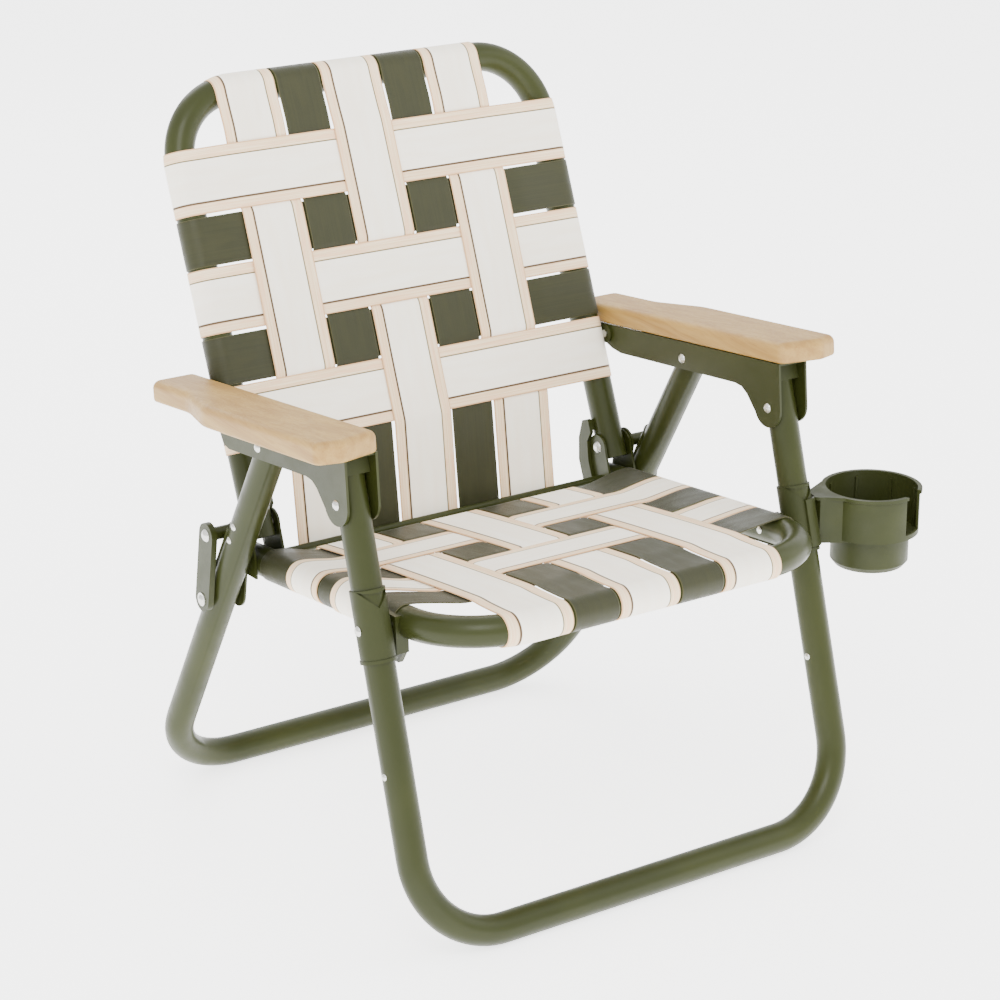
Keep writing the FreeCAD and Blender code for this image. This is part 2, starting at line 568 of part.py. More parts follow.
def armrest_wood(side):
    """Flat hardwood arm, straight inside, wider over the front three quarters, with rounded edges."""
    x_in, x_out, x_rear = WOOD_IN_X, WOOD_IN_X + WOOD_FRONT_W, WOOD_IN_X + WOOD_REAR_W
    corners = [(x_in, WOOD_FRONT_U + 12, 9), (x_out - WOOD_SKEW_W, WOOD_FRONT_U, 14),
               (x_out, WOOD_FRONT_U + 8, 9), (x_out, WOOD_JOG_U[0], WOOD_JOG_R),
               (x_rear, WOOD_JOG_U[1], WOOD_JOG_R), (x_rear, WOOD_REAR_U, 10), (x_in, WOOD_REAR_U, 8)]
    wire = rounded_wire([(arm(side * x, u), radius) for x, u, radius in corners])
    up = arm(0, 0, 1) - arm(0, 0, 0)
    plank = Part.Face(wire).extrude(up * WOOD_T)
    sole = arm(0, 0).dot(up)
    for level, radius in ((sole + WOOD_T, WOOD_EDGE_R), (sole, WOOD_SOLE_R)):
        rims = []
        for edge in plank.Edges:
            if all(abs(v.Point.dot(up) - level) < 0.01 for v in edge.Vertexes):
                rims.append(edge)
        plank = plank.makeFillet(radius, rims)
    return solid_of(plank)


def armrest_screws():
    """Screws up through the bracket's web into the wood, and one at the wood's free rear end."""
    screws = []
    up = arm(0, 0, 1) - arm(0, 0, 0)
    for side in (-1, 1):
        for u, x, w in SCREW_PLACES:
            screws.append(Part.makeCylinder(SCREW_R, SCREW_H, arm(side * x, u, w) - up * SCREW_H, up))
    return Part.makeCompound(screws)


def arm_front_bolts():
    return both_sides(lambda side: rivet(P_ARM_FRONT, side * ARM_OUT_X[1], side * ARM_IN_X[0]))


def arm_rear_bolts():
    return both_sides(lambda side: rivet(P_ARM_REAR, side * ARM_OUT_X[1], side * ARM_IN_X[0]))


def arm_back_rivets():
    """Rivets through the bracket's inner wall and the backrest's lug, nearly flush inside."""
    def one(side):
        shank = cyl_x(P_ARM_BACK, SHANK_R, side * (LUG_X[0] - 0.2), side * ARM_IN_X[1])
        inner = cyl_x(P_ARM_BACK, HEAD_R - 1, side * (LUG_X[0] - 1.2), side * (LUG_X[0] - 0.2))
        return shank.fuse([dome(P_ARM_BACK, side, side * ARM_IN_X[1], HEAD_R, 1.8), inner])
    return both_sides(one)


# ---------------------------------------------------------------- links behind the rear legs
def link_plates(side):
    """An inner flat plate and an outer pressed tray, on the backrest bolt above and the rear leg below."""
    flat = obround_x(P_BACK, P_LINK, LINK_INNER_R, side * LINK_IN_X[0], side * LINK_IN_X[1])
    tray = obround_x(P_BACK, P_LINK, LINK_R, side * LINK_RIM_X, side * LINK_OUT_X[1])
    tray = tray.cut(obround_x(P_BACK, P_LINK, LINK_R - LINK_RIM_T, side * LINK_RIM_X, side * LINK_OUT_X[0]))
    plates = []
    for shape, x_a, x_b in ((flat, LINK_IN_X[0], LINK_IN_X[1]), (tray, LINK_RIM_X, LINK_OUT_X[1])):
        shape = shape.cut(hole(P_BACK, side * x_a, side * x_b, PIVOT_R))
        plates.append(solid_of(shape.cut(hole(P_LINK, side * x_a, side * x_b))))
    return Part.makeCompound(plates)


def link_spacers():
    return both_sides(lambda side: ring(
        Vec(side * (LINK_IN_X[1] + 0.1), P_BACK.y, P_BACK.z),
        Vec(side * (LINK_RIM_X + 2.8), P_BACK.y, P_BACK.z), SPACER_R, PIVOT_R + RUN_CLEAR))


def link_lower_rivets():
    """Short shouldered rivets in the link plates, whose tips stop at the rear leg's surface."""
    def pair(side):
        outer = cyl_x(P_LINK, SHANK_R, side * (LINK_RIM_X - 1.6), side * LINK_OUT_X[1])
        washer_x = side * (LINK_OUT_X[1] + LINK_WASHER_T)
        outer = outer.fuse([dome(P_LINK, side, washer_x, HEAD_R, HEAD_H),
                            cyl_x(P_LINK, HEAD_R + 1.8, side * LINK_OUT_X[1], washer_x)])
        inner = cyl_x(P_LINK, SHANK_R, side * LINK_IN_X[0], side * (LINK_IN_X[1] + 0.3))
        inner = inner.fuse(dome(P_LINK, -side, side * LINK_IN_X[0], HEAD_R, 2.0))
        return [outer, inner]
    return Part.makeCompound(pair(-1) + pair(1))


def back_pivot_bolts():
    """Long bolts through the hinge plates, the backrest tube and the links."""
    return both_sides(lambda side: rivet(
        P_BACK, side * HINGE_IN_X[0], side * (LINK_OUT_X[1] + 0.1), PIVOT_R, 6.2, 3.2))


# ---------------------------------------------------------------- webbing
def strap_centres(widths, gap, first_edge):
    centres, edge = [], first_edge
    for w in widths:
        centres.append(edge + w / 2)
        edge += w + gap
    return centres


def lengthwise_centres():
    total = sum(WIDTHS) + 4 * WEB_GAP
    return strap_centres(WIDTHS, WEB_GAP, WEB_SHIFT - total / 2)


def strip(points, x0, x1, thickness):
    """A flat strap that follows side-view points of (y, z), with its thickness upwards or forwards."""
    low, high = [], []
    for i, p in enumerate(points):
        a, b = points[max(i - 1, 0)], points[min(i + 1, len(points) - 1)]
        d = (b - a).normalize()
        off = Vec(0, -d.z, d.y) * (thickness / 2)
        low.append(p - off)
        high.append(p + off)
    return prism_x(low + high[::-1], x0, x1)


def back_straps():
    """Lengthwise straps lie against the tubes' front; cross straps are the layer in front of them."""
    nodes = {}
    for k, (x, w) in enumerate(zip(lengthwise_centres(), WIDTHS)):
        n = -TUBE_R - BACK_LONG_LIFT
        path = [backrest(0, BACK_TOP_S - TUBE_R, n), backrest(0, 66, n), backrest(0, -34, 13.6)]
        nodes["back_strap_long_%d" % (k + 1)] = strip(path, x - w / 2, x + w / 2, WEB_T)
    s = BACK_CROSS_TOP_S
    for k in range(5):
        w = BACK_CROSS_GREEN_W if k % 2 else BACK_CROSS_WHITE_W
        n = -TUBE_R - BACK_CROSS_LIFT
        path = [backrest(0, s, n), backrest(0, s - w, n)]
        nodes["back_strap_cross_%d" % (k + 1)] = strip(path, -SIDE_REACH, SIDE_REACH, WEB_T)
        s -= w + WEB_GAP
    return nodes


def seat_straps():
    """Lengthwise straps run from the front bar down to the rear bar; cross straps lie above them."""
    nodes = {}
    for k, (x, w) in enumerate(zip(lengthwise_centres(), WIDTHS)):
        m = TUBE_R + SEAT_LONG_LIFT
        path = [seat(0, -6, m), seat(0, 200, m), seat(0, 300, m - 9)]
        nodes["seat_strap_long_%d" % (k + 1)] = strip(path, x - w / 2, x + w / 2, WEB_T)
    t = SEAT_CROSS_REAR_T
    for k, w in enumerate(SEAT_CROSS_WIDTHS):
        m = TUBE_R + SEAT_CROSS_LIFT
        path = [seat(0, t - w, m), seat(0, t, m)]
        nodes["seat_strap_cross_%d" % (k + 1)] = strip(path, -SIDE_REACH, SIDE_REACH, WEB_T)
        t -= w + WEB_GAP
    return nodes


# ---------------------------------------------------------------- the whole chair
def build_chair():
    nodes = {
        "front_leg_frame": front_leg_frame(), "front_leg_caps": both_sides(front_leg_cap),
        "front_leg_sleeve_left": front_leg_sleeve(1), "front_leg_sleeve_right": front_leg_sleeve(-1),
        "front_leg_rivets": front_leg_rivets(), "cup_holder": cup_holder(), "cup_clip": cup_clip(),
        "rear_leg_frame": rear_leg_frame(), "rear_leg_saddles": both_sides(rear_leg_saddle),
        "rear_leg_rivets": rear_leg_rivets(),
        "seat_frame": seat_frame(), "seat_rear_bar": seat_rear_bar(), "seat_tube_plugs": seat_tube_plugs(),
        "hinge_plates_left": hinge_plates(1), "hinge_plates_right": hinge_plates(-1),
        "cross_rod": cross_rod(), "seat_pivot_ears": seat_ears(), "seat_pivot_bolts": seat_pivot_bolts(),
        "back_pivot_bolts": back_pivot_bolts(),
        "backrest_frame": backrest_frame(), "back_lower_bar": back_lower_bar(),
        "back_bar_arms": back_bar_arms(), "back_tube_plugs": back_tube_plugs(),
        "back_arm_lugs": back_arm_lugs(),
        "armrest_wood_left": armrest_wood(1), "armrest_wood_right": armrest_wood(-1),
        "armrest_bracket_left": armrest_bracket(1), "armrest_bracket_right": armrest_bracket(-1),
        "armrest_screws": armrest_screws(), "arm_front_bolts": arm_front_bolts(),
        "arm_rear_bolts": arm_rear_bolts(), "arm_back_rivets": arm_back_rivets(),
        "link_plates_left": link_plates(1), "link_plates_right": link_plates(-1),
        "link_spacers": link_spacers(), "link_lower_rivets": link_lower_rivets(),
    }
    nodes.update(back_straps())
    nodes.update(seat_straps())
    return nodes


def main():
    nodes = build_chair()
    box = Part.makeCompound(list(nodes.values())).optimalBoundingBox()
    shift = Vec(-(box.XMin + box.XMax) / 2, -(box.YMin + box.YMax) / 2, -box.ZMin)
    os.makedirs("parts", exist_ok=True)
    for name, shape in nodes.items():
        shape = shape.copy()
        shape.translate(shift)
        print(name, "solids", len(shape.Solids), "valid", shape.isValid(), "volume", round(shape.Volume))
        shape.exportStep("parts/%s.step" % name)
    print("size", box.XLength, box.YLength, box.ZLength, "shift", shift)
    for name, p in (("arm_front", P_ARM_FRONT), ("arm_rear", P_ARM_REAR), ("seat", P_SEAT),
                    ("back", P_BACK), ("link", P_LINK), ("arm_back", P_ARM_BACK)):
        print("pivot", name, round(p.y + shift.y, 4), round(p.z + shift.z, 4))


main()
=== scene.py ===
import json
import math

import bmesh
import bpy
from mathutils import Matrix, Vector


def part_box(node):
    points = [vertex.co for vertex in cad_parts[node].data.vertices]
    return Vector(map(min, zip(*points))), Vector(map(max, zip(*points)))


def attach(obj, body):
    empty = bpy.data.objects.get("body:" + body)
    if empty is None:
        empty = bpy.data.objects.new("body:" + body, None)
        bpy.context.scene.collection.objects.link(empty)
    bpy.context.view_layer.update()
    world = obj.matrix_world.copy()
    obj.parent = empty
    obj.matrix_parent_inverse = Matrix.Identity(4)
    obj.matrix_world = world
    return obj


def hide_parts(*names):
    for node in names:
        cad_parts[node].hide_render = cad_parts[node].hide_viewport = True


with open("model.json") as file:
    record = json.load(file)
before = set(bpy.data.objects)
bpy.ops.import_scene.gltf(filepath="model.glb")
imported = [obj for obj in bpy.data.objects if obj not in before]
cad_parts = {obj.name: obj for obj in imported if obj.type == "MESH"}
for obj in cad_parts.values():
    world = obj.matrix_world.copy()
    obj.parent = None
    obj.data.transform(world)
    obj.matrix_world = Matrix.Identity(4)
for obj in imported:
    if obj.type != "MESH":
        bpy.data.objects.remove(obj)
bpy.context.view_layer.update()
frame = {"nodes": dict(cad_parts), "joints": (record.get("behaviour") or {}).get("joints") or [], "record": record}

# Metres, in the CAD's frame: +Z up, the sitter faces -Y, +X is the sitter's left.

# ---------------------------------------------------------------- driving dimensions
MM = 0.001
TUBE_R = 14.3 * MM
INNER_X = 208.0 * MM           # seat and back tube centres from the middle plane
SEAT_BEND_R = 75.0 * MM
BACK_BEND_R = 68.0 * MM
RECLINE = math.radians(21.3)
SEAT_SLOPE = math.radians(4.5)
ARM_SLOPE = math.radians(5.0)
BACK_TOP = 409.0 * MM          # backrest top bar's axis above the pivot, along the backrest

WEB_T = 1.2 * MM               # webbing thickness
WEAVE = 1.1 * MM               # how far a strap's middle lies above or below the weave's middle
WEB_R = TUBE_R + WEB_T / 2 + 0.05 * MM      # a strap's middle where it wraps a frame tube
WRAP_TURN = math.radians(215)
STEP = 3.0 * MM                # spacing of a strap's rows along its length
WRAP_STEPS = 30
EDGE_THINNING = 0.45           # a strap's thickness at its very edge
WARP_PITCH, WEFT_PITCH = 0.95 * MM, 1.5 * MM
SMOOTH_ANGLE = math.radians(32)             # CAD edges sharper than this stay sharp
SLOPE_RUN = 3.0 * MM           # a strap starts to rise or dip this far inside its neighbour's edge

SEAT_LIFT = 1.9 * MM           # the weave's middle above the straps' level on the tubes
BACK_LIFT = 2.3 * MM
SEAT_BOW = 8.0 * MM            # how far the weave is drawn down at the seat's rear edge
BACK_BOW = 4.0 * MM            # and rearwards at the backrest's lower edge

LOWER_BAR = (-43.0 * MM, 22.0 * MM, 6.0 * MM)       # along the backrest, rearwards, radius
REAR_BAR = (308.5 * MM, -7.4 * MM, 8.0 * MM)        # along the seat, upwards, radius

MIDDLE_X = (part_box("seat_frame")[0].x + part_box("seat_frame")[1].x) / 2
X_AXIS = Vector((1, 0, 0))


# ---------------------------------------------------------------- node trees
class Shader:
    """A material's node tree, with short helpers that return sockets."""

    def __init__(self, name):
        self.material = bpy.data.materials.new(name)
        self.material.use_nodes = True
        self.tree = self.material.node_tree
        self.bsdf = self.tree.nodes["Principled BSDF"]

    def node(self, kind, **settings):
        made = self.tree.nodes.new("ShaderNode" + kind)
        for key, value in settings.items():
            setattr(made, key, value)
        return made

    def plug(self, value, socket):
        if isinstance(value, bpy.types.NodeSocket):
            self.tree.links.new(value, socket)
        elif isinstance(value, tuple) and len(value) == 3 and socket.type == "RGBA":
            socket.default_value = (*value, 1)
        else:
            socket.default_value = value

    def math(self, operation, *values):
        made = self.node("Math", operation=operation)
        for value, socket in zip(values, made.inputs):
            self.plug(value, socket)
        return made.outputs[0]

    def mix(self, factor, a, b, blend="MIX"):
        made = self.node("Mix", data_type="RGBA", blend_type=blend)
        self.plug(factor, made.inputs["Factor"])
        self.plug(a, made.inputs[6])
        self.plug(b, made.inputs[7])
        return made.outputs[2]

    def noise(self, vector, scale, detail=3.0, roughness=0.5):
        made = self.node("TexNoise")
        self.plug(vector, made.inputs["Vector"])
        self.plug(scale, made.inputs["Scale"])
        self.plug(detail, made.inputs["Detail"])
        self.plug(roughness, made.inputs["Roughness"])
        return made.outputs["Fac"]

    def between(self, value, low, high, to_low=0.0, to_high=1.0):
        made = self.node("MapRange", interpolation_type="SMOOTHSTEP")
        for item, socket in zip((value, low, high, to_low, to_high), made.inputs):
            self.plug(item, socket)
        return made.outputs[0]

    def stretch(self, vector, scale, rotation=(0, 0, 0)):
        made = self.node("Mapping")
        self.plug(vector, made.inputs["Vector"])
        self.plug(scale, made.inputs["Scale"])
        self.plug(rotation, made.inputs["Rotation"])
        return made.outputs[0]

    def where(self):
        return self.node("TexCoord").outputs["Object"]

    def uv(self):
        made = self.node("UVMap", uv_map="strap")
        split = self.node("SeparateXYZ")
        self.plug(made.outputs[0], split.inputs[0])
        return made.outputs[0], split.outputs[0], split.outputs[1]

    def bump(self, height, strength, distance=0.001, below=None):
        made = self.node("Bump")
        self.plug(strength, made.inputs["Strength"])
        self.plug(distance, made.inputs["Distance"])
        self.plug(height, made.inputs["Height"])
        if below is not None:
            self.plug(below, made.inputs["Normal"])
        return made.outputs[0]

    def finish(self, **inputs):
        for key, value in inputs.items():
            self.plug(value, self.bsdf.inputs[key.replace("_", " ")])
        return self.material


def srgb(r, g, b):
    """A colour given as 0 to 255 display values, as the linear values that shaders use."""
    return tuple((c / 255 / 12.92) if c < 11 else ((c / 255 + 0.055) / 1.055) ** 2.4 for c in (r, g, b))


# ---------------------------------------------------------------- materials
def painted_steel(name, colour, deep):
    s = Shader(name)
    place = s.where()
    broad = s.noise(place, 9.0, 2.0)
    fine = s.noise(place, 900.0, 2.0, 0.6)
    dust = s.noise(place, 60.0, 5.0, 0.65)
    tint = s.mix(s.between(broad, 0.35, 0.7), deep, colour)
    rough = s.between(dust, 0.3, 0.75, 0.30, 0.44)
    return s.finish(Base_Color=tint, Roughness=rough, Normal=s.bump(fine, 0.10, 0.0004),
                    Specular_IOR_Level=0.17, Coat_Weight=0.07, Coat_Roughness=0.22)


def moulded_plastic(name, colour, deep):
    s = Shader(name)
    place = s.where()
    grain = s.noise(place, 1400.0, 2.0, 0.6)
    tint = s.mix(s.between(s.noise(place, 14.0, 2.0), 0.35, 0.7), deep, colour)
    rough = s.between(s.noise(place, 45.0, 4.0), 0.3, 0.7, 0.40, 0.55)
    return s.finish(Base_Color=tint, Roughness=rough, Normal=s.bump(grain, 0.14, 0.0003),
                    Specular_IOR_Level=0.20)


def zinc_steel():
    s = Shader("zinc_steel_look")
    place = s.where()
    scuffs = s.noise(s.stretch(place, (40, 900, 900)), 3.0, 3.0)
    tint = s.mix(s.between(scuffs, 0.3, 0.7), srgb(176, 176, 170), srgb(222, 221, 215))
    rough = s.between(s.noise(place, 300.0, 3.0), 0.3, 0.7, 0.22, 0.38)
    return s.finish(Base_Color=tint, Metallic=1.0, Roughness=rough, Normal=s.bump(scuffs, 0.15, 0.0002))


WOOD_PALE, WOOD_DEEP = srgb(166, 132, 68), srgb(146, 110, 50)
WOOD_FIBRE, WOOD_PORE = srgb(128, 88, 42), srgb(92, 60, 28)


def pale_wood():
    """Light beech: long fine pores and slow colour bands along the arm, which lies along Y."""
    s = Shader("pale_wood_look")
    place = s.stretch(s.where(), (1, 1, 1), (-ARM_SLOPE, 0, 0))
    warp = s.noise(s.stretch(place, (9, 2.2, 9)), 3.0, 3.0)
    wander = s.node("VectorMath", operation="MULTIPLY_ADD")
    offset = s.node("CombineXYZ")
    s.plug(warp, offset.inputs[0])
    s.plug(warp, offset.inputs[2])
    s.plug(offset.outputs[0], wander.inputs[0])
    wander.inputs[1].default_value = (0.022, 0.0, 0.022)
    s.plug(place, wander.inputs[2])
    bands = s.noise(s.stretch(wander.outputs[0], (120, 2.6, 120)), 1.0, 4.0, 0.55)
    fibres = s.noise(s.stretch(wander.outputs[0], (900, 14, 900)), 1.0, 4.0, 0.6)
    pores = s.noise(s.stretch(place, (1500, 55, 1500)), 1.0, 1.0)
    tint = s.mix(s.between(bands, 0.30, 0.70), WOOD_PALE, WOOD_DEEP)
    tint = s.mix(s.math("MULTIPLY", s.between(fibres, 0.45, 0.75), 0.35), tint, WOOD_FIBRE)
    tint = s.mix(s.math("MULTIPLY", s.between(pores, 0.68, 0.76), 0.30), tint, WOOD_PORE)
    rough = s.between(fibres, 0.3, 0.7, 0.42, 0.56)
    return s.finish(Base_Color=tint, Roughness=rough, Normal=s.bump(fibres, 0.18, 0.0004))


def ribbed(s, along, across_m):
    """The webbing's fine plain weave, as a height from 0 to 1."""
    warp_sine = s.math("SINE", s.math("MULTIPLY", across_m, math.pi / WARP_PITCH))
    warp = s.math("ABSOLUTE", warp_sine)
    shift = s.math("MULTIPLY", s.math("SIGN", warp_sine), math.pi / 4)
    weft_angle = s.math("ADD", s.math("MULTIPLY", along, math.pi / WEFT_PITCH), shift)
    weft = s.math("ABSOLUTE", s.math("SINE", weft_angle))
    return s.math("MULTIPLY", warp, s.math("ADD", s.math("MULTIPLY", weft, 0.6), 0.4))


def cream_webbing():
    """Cream middle, a thin dark line on each side, and tan bands streaked lengthwise with peach."""
    s = Shader("cream_webbing_look")
    vector, along, across = s.uv()
    half = s.math("MULTIPLY", across, 31.5 * MM)
    weave = ribbed(s, along, half)
    side = s.math("ABSOLUTE", across)
    streak = s.noise(s.stretch(vector, (5.0, 34.0, 1.0)), 1.0, 4.0, 0.7)
    patch = s.noise(s.stretch(vector, (26.0, 7.0, 1.0)), 1.0, 3.0, 0.6)
    tan = s.mix(s.between(streak, 0.36, 0.58), srgb(243, 223, 190), srgb(228, 196, 152))
    tan = s.mix(s.math("MULTIPLY", s.between(patch, 0.45, 0.7), 0.75), tan, srgb(234, 190, 150))
    thread = s.noise(s.stretch(vector, (9.0, 110.0, 1.0)), 1.0, 2.0, 0.6)
    tan = s.mix(s.math("MULTIPLY", s.between(thread, 0.55, 0.72), 0.5), tan, srgb(190, 140, 94))
    cream = s.mix(s.between(s.noise(s.stretch(vector, (14, 3, 1)), 1.0, 3.0), 0.3, 0.7),
                  srgb(252, 246, 231), srgb(249, 240, 222))
    # Painted shade: the weave's low parts are darkened a little toward grey-beige, as if shaded in the hollows
    # between threads.
    cream = s.mix(s.math("MULTIPLY", s.between(weave, 0.0, 0.35, 1.0, 0.0), 0.10), cream, srgb(205, 195, 178))
    tint = s.mix(s.between(side, 0.655, 0.665), cream, tan)
    for centre, width, colour in ((-0.655, 0.034, srgb(70, 46, 14)), (0.655, 0.020, srgb(92, 80, 40))):
        gap = s.math("ABSOLUTE", s.math("SUBTRACT", across, centre))
        tint = s.mix(s.between(gap, width * 0.6, width * 1.3, 1.0, 0.0), tint, colour)
    tint = s.mix(s.between(side, 0.955, 0.975), tint, srgb(208, 166, 122))
    rough = s.between(patch, 0.3, 0.7, 0.62, 0.74)
    return s.finish(Base_Color=tint, Roughness=rough, Normal=s.bump(weave, 0.28, 0.0003), Sheen_Weight=0.12,
                    Sheen_Roughness=0.4)


def olive_webbing():
    s = Shader("olive_webbing_look")
    vector, along, across = s.uv()
    half = s.math("MULTIPLY", across, 23.5 * MM)
    weave = ribbed(s, along, half)
    streak = s.noise(s.stretch(vector, (6.0, 30.0, 1.0)), 1.0, 4.0, 0.6)
    cloud = s.noise(s.stretch(vector, (22.0, 2.0, 1.0)), 1.0, 2.0)
    # Painted sheen: lengthwise streaks of slightly lighter olive stand in for the satin webbing's shine along its
    # threads.
    tint = s.mix(s.between(streak, 0.35, 0.65), srgb(38, 39, 17), srgb(43, 44, 20))
    tint = s.mix(s.math("MULTIPLY", s.between(cloud, 0.4, 0.7), 0.4), tint, srgb(50, 50, 25))
    # Painted shade: the weave's low parts are darkened toward a deeper olive, as if shaded in the hollows between
    # threads.
    tint = s.mix(s.math("MULTIPLY", s.between(weave, 0.0, 0.35, 1.0, 0.0), 0.25), tint, srgb(30, 30, 13))
    side = s.math("ABSOLUTE", across)
    # Painted highlight: a thin lighter olive band along both edges stands in for light catching the strap's
    # rounded edge.
    tint = s.mix(s.between(side, 0.955, 0.985), tint, srgb(66, 64, 36))
    rough = s.between(cloud, 0.3, 0.7, 0.40, 0.52)
    return s.finish(Base_Color=tint, Roughness=rough, Normal=s.bump(weave, 0.32, 0.0003), Sheen_Weight=0.08,
                    Sheen_Roughness=0.35, Specular_IOR_Level=0.26)


LOOKS = {
    "olive_paint": painted_steel("olive_paint_look", srgb(46, 50, 18), srgb(40, 44, 15)),
    "olive_plastic": moulded_plastic("olive_plastic_look", srgb(47, 51, 20), srgb(41, 45, 17)),
    "dark_plastic": moulded_plastic("dark_plastic_look", srgb(31, 33, 19), srgb(25, 27, 15)),
    "hardwood": pale_wood(),
    "zinc_steel": zinc_steel(),
    "cream_webbing": cream_webbing(),
    "olive_webbing": olive_webbing(),
}


def dress_cad_nodes():
    for part in frame["record"]["subparts"]:
        node = frame["nodes"][part["node"]]
        node.data.materials.clear()
        node.data.materials.append(LOOKS[part["material_slot"]])
        weld = node.modifiers.new("weld", "WELD")
        weld.merge_threshold = 0.00001
        for face in node.data.polygons:
            face.use_smooth = True
        smooth = node.modifiers.new("edges", "EDGE_SPLIT")
        smooth.split_angle = SMOOTH_ANGLE


# ---------------------------------------------------------------- pieces
def add_piece(name, mesh, body, slot, nodes):
    piece = bpy.data.objects.new(name, mesh)
    bpy.context.scene.collection.objects.link(piece)
    mesh.materials.append(LOOKS[slot])
    for face in mesh.polygons:
        face.use_smooth = True
    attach(piece, body)
    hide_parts(*nodes)
    return piece


# ---------------------------------------------------------------- woven panels
class Panel:
    """A woven panel: `a` runs along it from the bar that its straps wrap first, `x` across the chair, and `h`
    towards the sitter."""

    def __init__(self, start, along, out, half_x, bend, lift, bow, last_bar):
        self.start, self.along, self.out = start, along, out
        self.half_x, self.bend, self.lift, self.bow, self.last_bar = half_x, bend, lift, bow, last_bar

    def point(self, a, x, h):
        return self.start + self.along * a + X_AXIS * x + self.out * h

    def run_of(self, node):
        """Where a CAD strap lies: its middle, as (a, x)."""
        low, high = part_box(node)
        middle = (low + high) / 2 - self.start
        return middle.dot(self.along), middle.x

    def bend_drop(self, x):
        """How far the end bar's axis has turned inwards at x, in its corner bend."""
        over = min(max(abs(x) - (self.half_x - self.bend), 0.0), self.bend)
        return self.bend - math.sqrt(self.bend ** 2 - over ** 2)

    def side_x(self, a):
        """The side tube's axis from the middle plane, a along the panel."""
        over = min(max(self.bend - a, 0.0), self.bend)
        return self.half_x - (self.bend - math.sqrt(self.bend ** 2 - over ** 2))


def smooth(t):
    t = min(max(t, 0.0), 1.0)
    return t * t * (3 - 2 * t)


def weave_height(place, crossings):
    """How far a strap lies above the weave's middle where it passes over and under its crossings."""
    stops = [(crossings[0][0] - 20 * MM, 0.0)]
    for low, high, sign in crossings:
        stops += [(low + SLOPE_RUN, sign * WEAVE), (high - SLOPE_RUN, sign * WEAVE)]
    stops.append((crossings[-1][1] + 20 * MM, 0.0))
    if place <= stops[0][0] or place >= stops[-1][0]:
        return 0.0
    for (p, v), (q, w) in zip(stops, stops[1:]):
        if place <= q:
            return v + (w - v) * smooth((place - p) / (q - p))
    return 0.0


def arc_points(centre, radius, start, turn, count):
    """Points on an arc, as (first, second) coordinates, from the angle start through turn."""
    steps = [start + turn * i / count for i in range(count + 1)]
    return [(centre[0] + radius * math.cos(t), centre[1] + radius * math.sin(t)) for t in steps]


def strap_mesh(name, grid):
    """A closed strip from rows of points in its middle layer, thinner at both edges, and the strip's length."""
    count = len(grid[0])
    mesh = bpy.data.meshes.new(name)
    build = bmesh.new()
    uv = build.loops.layers.uv.new("strap")
    tops, bottoms, us = [], [], []
    length = 0.0
    for i, row in enumerate(grid):
        ahead, behind = grid[min(i + 1, len(grid) - 1)], grid[max(i - 1, 0)]
        if i:
            length += (row[count // 2] - grid[i - 1][count // 2]).length
        us.append(length)
        top, bottom = [], []
        for k, p in enumerate(row):
            normal = (ahead[k] - behind[k]).cross(row[min(k + 1, count - 1)] - row[max(k - 1, 0)]).normalized()
            half = WEB_T / 2 * (EDGE_THINNING if k in (0, count - 1) else 1.0)
            top.append(build.verts.new(p + normal * half))
            bottom.append(build.verts.new(p - normal * half))
        tops.append(top)
        bottoms.append(bottom)
    across = (grid[0][-1] - grid[0][0]).length
    offsets = [-1 + 2 * (grid[0][k] - grid[0][0]).length / across for k in range(count)]

    def face(corners):
        made = build.faces.new([c[0] for c in corners])
        for loop, corner in zip(made.loops, corners):
            loop[uv].uv = (us[corner[1]], offsets[corner[2]])

    for i in range(len(grid) - 1):
        for k in range(count - 1):
            face([(tops[i][k], i, k), (tops[i][k + 1], i, k + 1), (tops[i + 1][k + 1], i + 1, k + 1),
                  (tops[i + 1][k], i + 1, k)])
            face([(bottoms[i][k], i, k), (bottoms[i + 1][k], i + 1, k), (bottoms[i + 1][k + 1], i + 1, k + 1),
                  (bottoms[i][k + 1], i, k + 1)])
        for k, flip in ((0, False), (count - 1, True)):
            edge = [(tops[i][k], i, k), (tops[i + 1][k], i + 1, k), (bottoms[i + 1][k], i + 1, k),
                    (bottoms[i][k], i, k)]
            face(edge[::-1] if flip else edge)
    for i, flip in ((0, False), (len(grid) - 1, True)):
        for k in range(count - 1):
            end = [(tops[i][k], i, k), (bottoms[i][k], i, k), (bottoms[i][k + 1], i, k + 1),
                   (tops[i][k + 1], i, k + 1)]
            face(end[::-1] if flip else end)
    bmesh.ops.recalc_face_normals(build, faces=build.faces)
    build.to_mesh(mesh)
    build.free()
    return mesh, length


def columns(width):
    """Offsets across a strap: close together at the edges, for their rounding."""
    half = width / 2
    inner = [half * t for t in (-0.8, -0.66, -0.4, -0.15, 0.15, 0.4, 0.66, 0.8)]
    return [-half, -half + 0.5 * MM, -half + 1.5 * MM] + inner + [half - 1.5 * MM, half - 0.5 * MM, half]


def steps_between(a, b):
    count = max(2, round(abs(b - a) / STEP))
    return [a + (b - a) * i / count for i in range(1, count)]


def last_wrap(panel, leave):
    """The end of a lengthwise strap in side view: off the weave at (a, h) and round the last bar."""
    ca, ch, r = panel.last_bar
    radius = r + WEB_T / 2 + 0.05 * MM
    da, dh = ca - leave[0], ch - leave[1]
    reach = math.hypot(da, dh)
    heading = math.atan2(dh, da) + math.asin(radius / reach)
    touch = heading + math.pi / 2
    free = math.sqrt(reach ** 2 - radius ** 2)
    count = max(3, round(free / STEP))
    line = [(leave[0] + free * math.cos(heading) * i / count, leave[1] + free * math.sin(heading) * i / count)
            for i in range(1, count)]
    return line + arc_points((ca, ch), radius, touch, -math.radians(200), 26)


